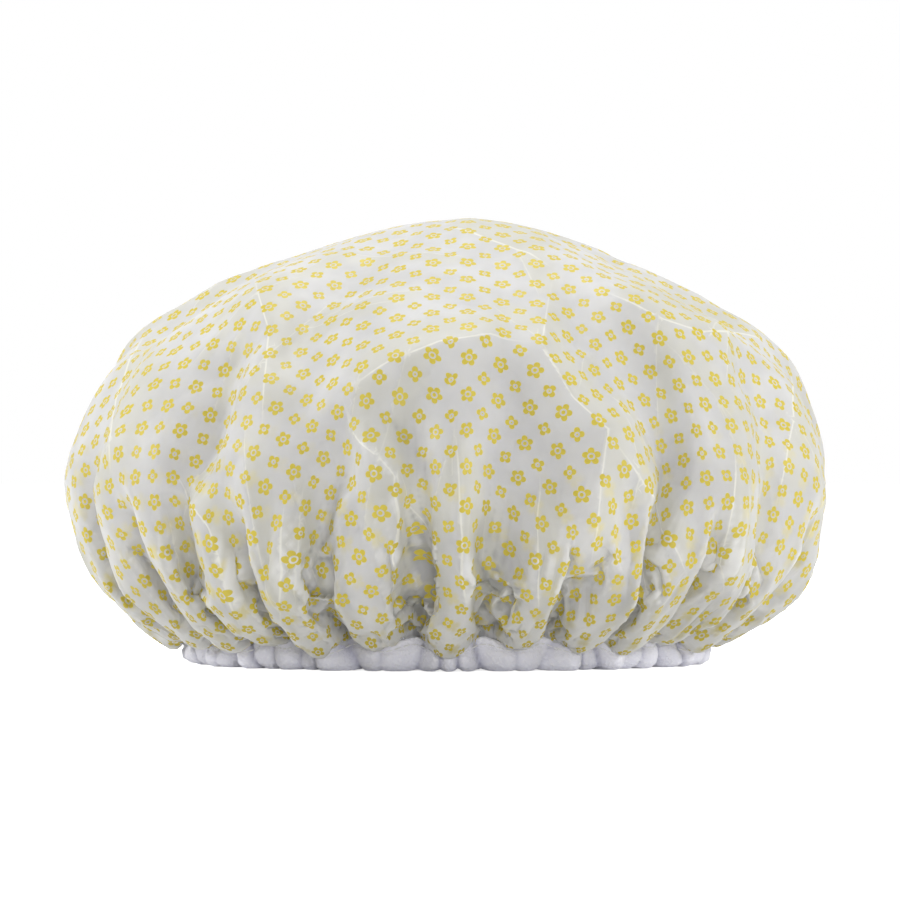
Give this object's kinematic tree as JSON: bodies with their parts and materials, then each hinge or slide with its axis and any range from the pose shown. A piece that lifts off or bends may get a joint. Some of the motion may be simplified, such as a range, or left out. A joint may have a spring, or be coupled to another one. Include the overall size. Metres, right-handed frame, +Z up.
{
  "type": "shower cap",
  "caption": "Bouffant shower cap: printed waterproof film over a terry lining, both gathered into a terry-bound hem with an elastic loop inside.",
  "frame": {"origin": "middle of the hem's underside, on the surface that the cap stands on", "axes": "+X to the right of the pictured front, +Y to the back, +Z up through the crown"},
  "size_m": [0.2942, 0.2963, 0.1691],
  "materials": {
    "film": "frosted translucent white waterproof film with a small yellow print, soft sheen on the folds",
    "terry": "white short-pile terry",
    "elastic": "white braided elastic",
    "thread": "white polyester sewing thread"
  },
  "bodies": {
    "cap": {"film_shell": "film", "terry_lining": "terry", "hem_binding": "terry", "elastic_band": "elastic", "needle_thread": "thread", "bobbin_thread": "thread"},
    "hem_back": {"elastic_tack": "thread", "binding_join": "thread"}
  },
  "joints": [
    {"name": "hem_stretch", "type": "slide", "parent": "cap", "child": "hem_back", "axis": [0, 1, 0], "range_m": [0, 0.06], "stiffness_N_per_m": 50, "deforming": ["film_shell", "terry_lining", "hem_binding", "elastic_band", "needle_thread", "bobbin_thread"]}
  ]
}
